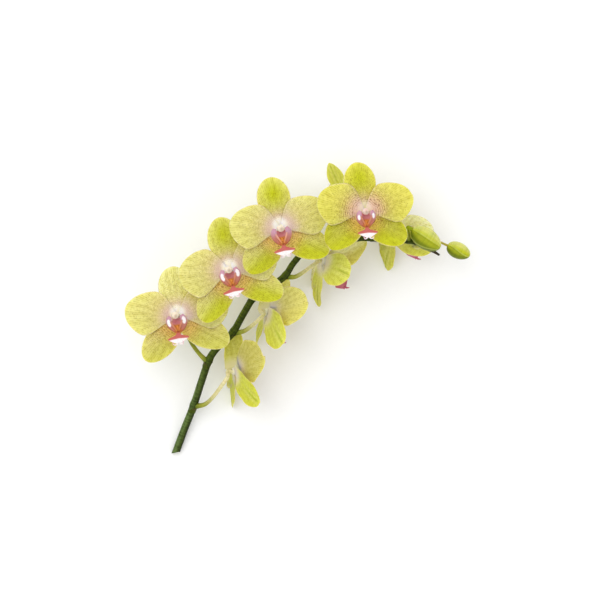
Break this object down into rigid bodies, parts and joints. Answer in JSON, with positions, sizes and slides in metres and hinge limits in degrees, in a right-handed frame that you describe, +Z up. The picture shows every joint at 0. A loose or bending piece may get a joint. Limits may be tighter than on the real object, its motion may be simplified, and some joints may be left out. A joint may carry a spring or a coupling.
{
  "type": "orchid stem",
  "caption": "Cut stem of a moth orchid lying on its side: an arching stem with spotted yellow flowers along both sides and closed buds at its tip.",
  "frame": {"origin": "centre of the plan outline, on the surface that the stem lies on", "axes": "+X along the row of flowers, from the cut end's side to the buds; +Y in the surface, towards the dorsal sepals; +Z up from the surface, where four of the flowers face"},
  "size_m": [0.2584, 0.2214, 0.0875],
  "materials": {
    "stem": "smooth, slightly waxy",
    "tepals": "satin petal, thin",
    "lip": "satin, fleshy",
    "column": "waxy",
    "pedicel": "smooth",
    "bud": "smooth, waxy"
  },
  "bodies": {
    "root": {"stem": "stem", "bloom_1_tepals": "tepals", "bloom_1_lip": "lip", "bloom_1_column": "column", "bloom_1_pedicel": "pedicel", "bloom_2_tepals": "tepals", "bloom_2_lip": "lip", "bloom_2_column": "column", "bloom_2_pedicel": "pedicel", "bloom_3_tepals": "tepals", "bloom_3_lip": "lip", "bloom_3_column": "column", "bloom_3_pedicel": "pedicel", "bloom_4_tepals": "tepals", "bloom_4_lip": "lip", "bloom_4_column": "column", "bloom_4_pedicel": "pedicel", "bloom_5_tepals": "tepals", "bloom_5_lip": "lip", "bloom_5_column": "column", "bloom_5_pedicel": "pedicel", "bloom_6_tepals": "tepals", "bloom_6_lip": "lip", "bloom_6_column": "column", "bloom_6_pedicel": "pedicel", "bloom_7_tepals": "tepals", "bloom_7_lip": "lip", "bloom_7_column": "column", "bloom_7_pedicel": "pedicel", "bloom_8_tepals": "tepals", "bloom_8_lip": "lip", "bloom_8_column": "column", "bloom_8_pedicel": "pedicel", "bloom_9_tepals": "tepals", "bloom_9_lip": "lip", "bloom_9_column": "column", "bloom_9_pedicel": "pedicel", "bud_1": "bud", "bud_1_pedicel": "pedicel", "bud_2": "bud", "bud_2_pedicel": "pedicel"}
  },
  "joints": []
}
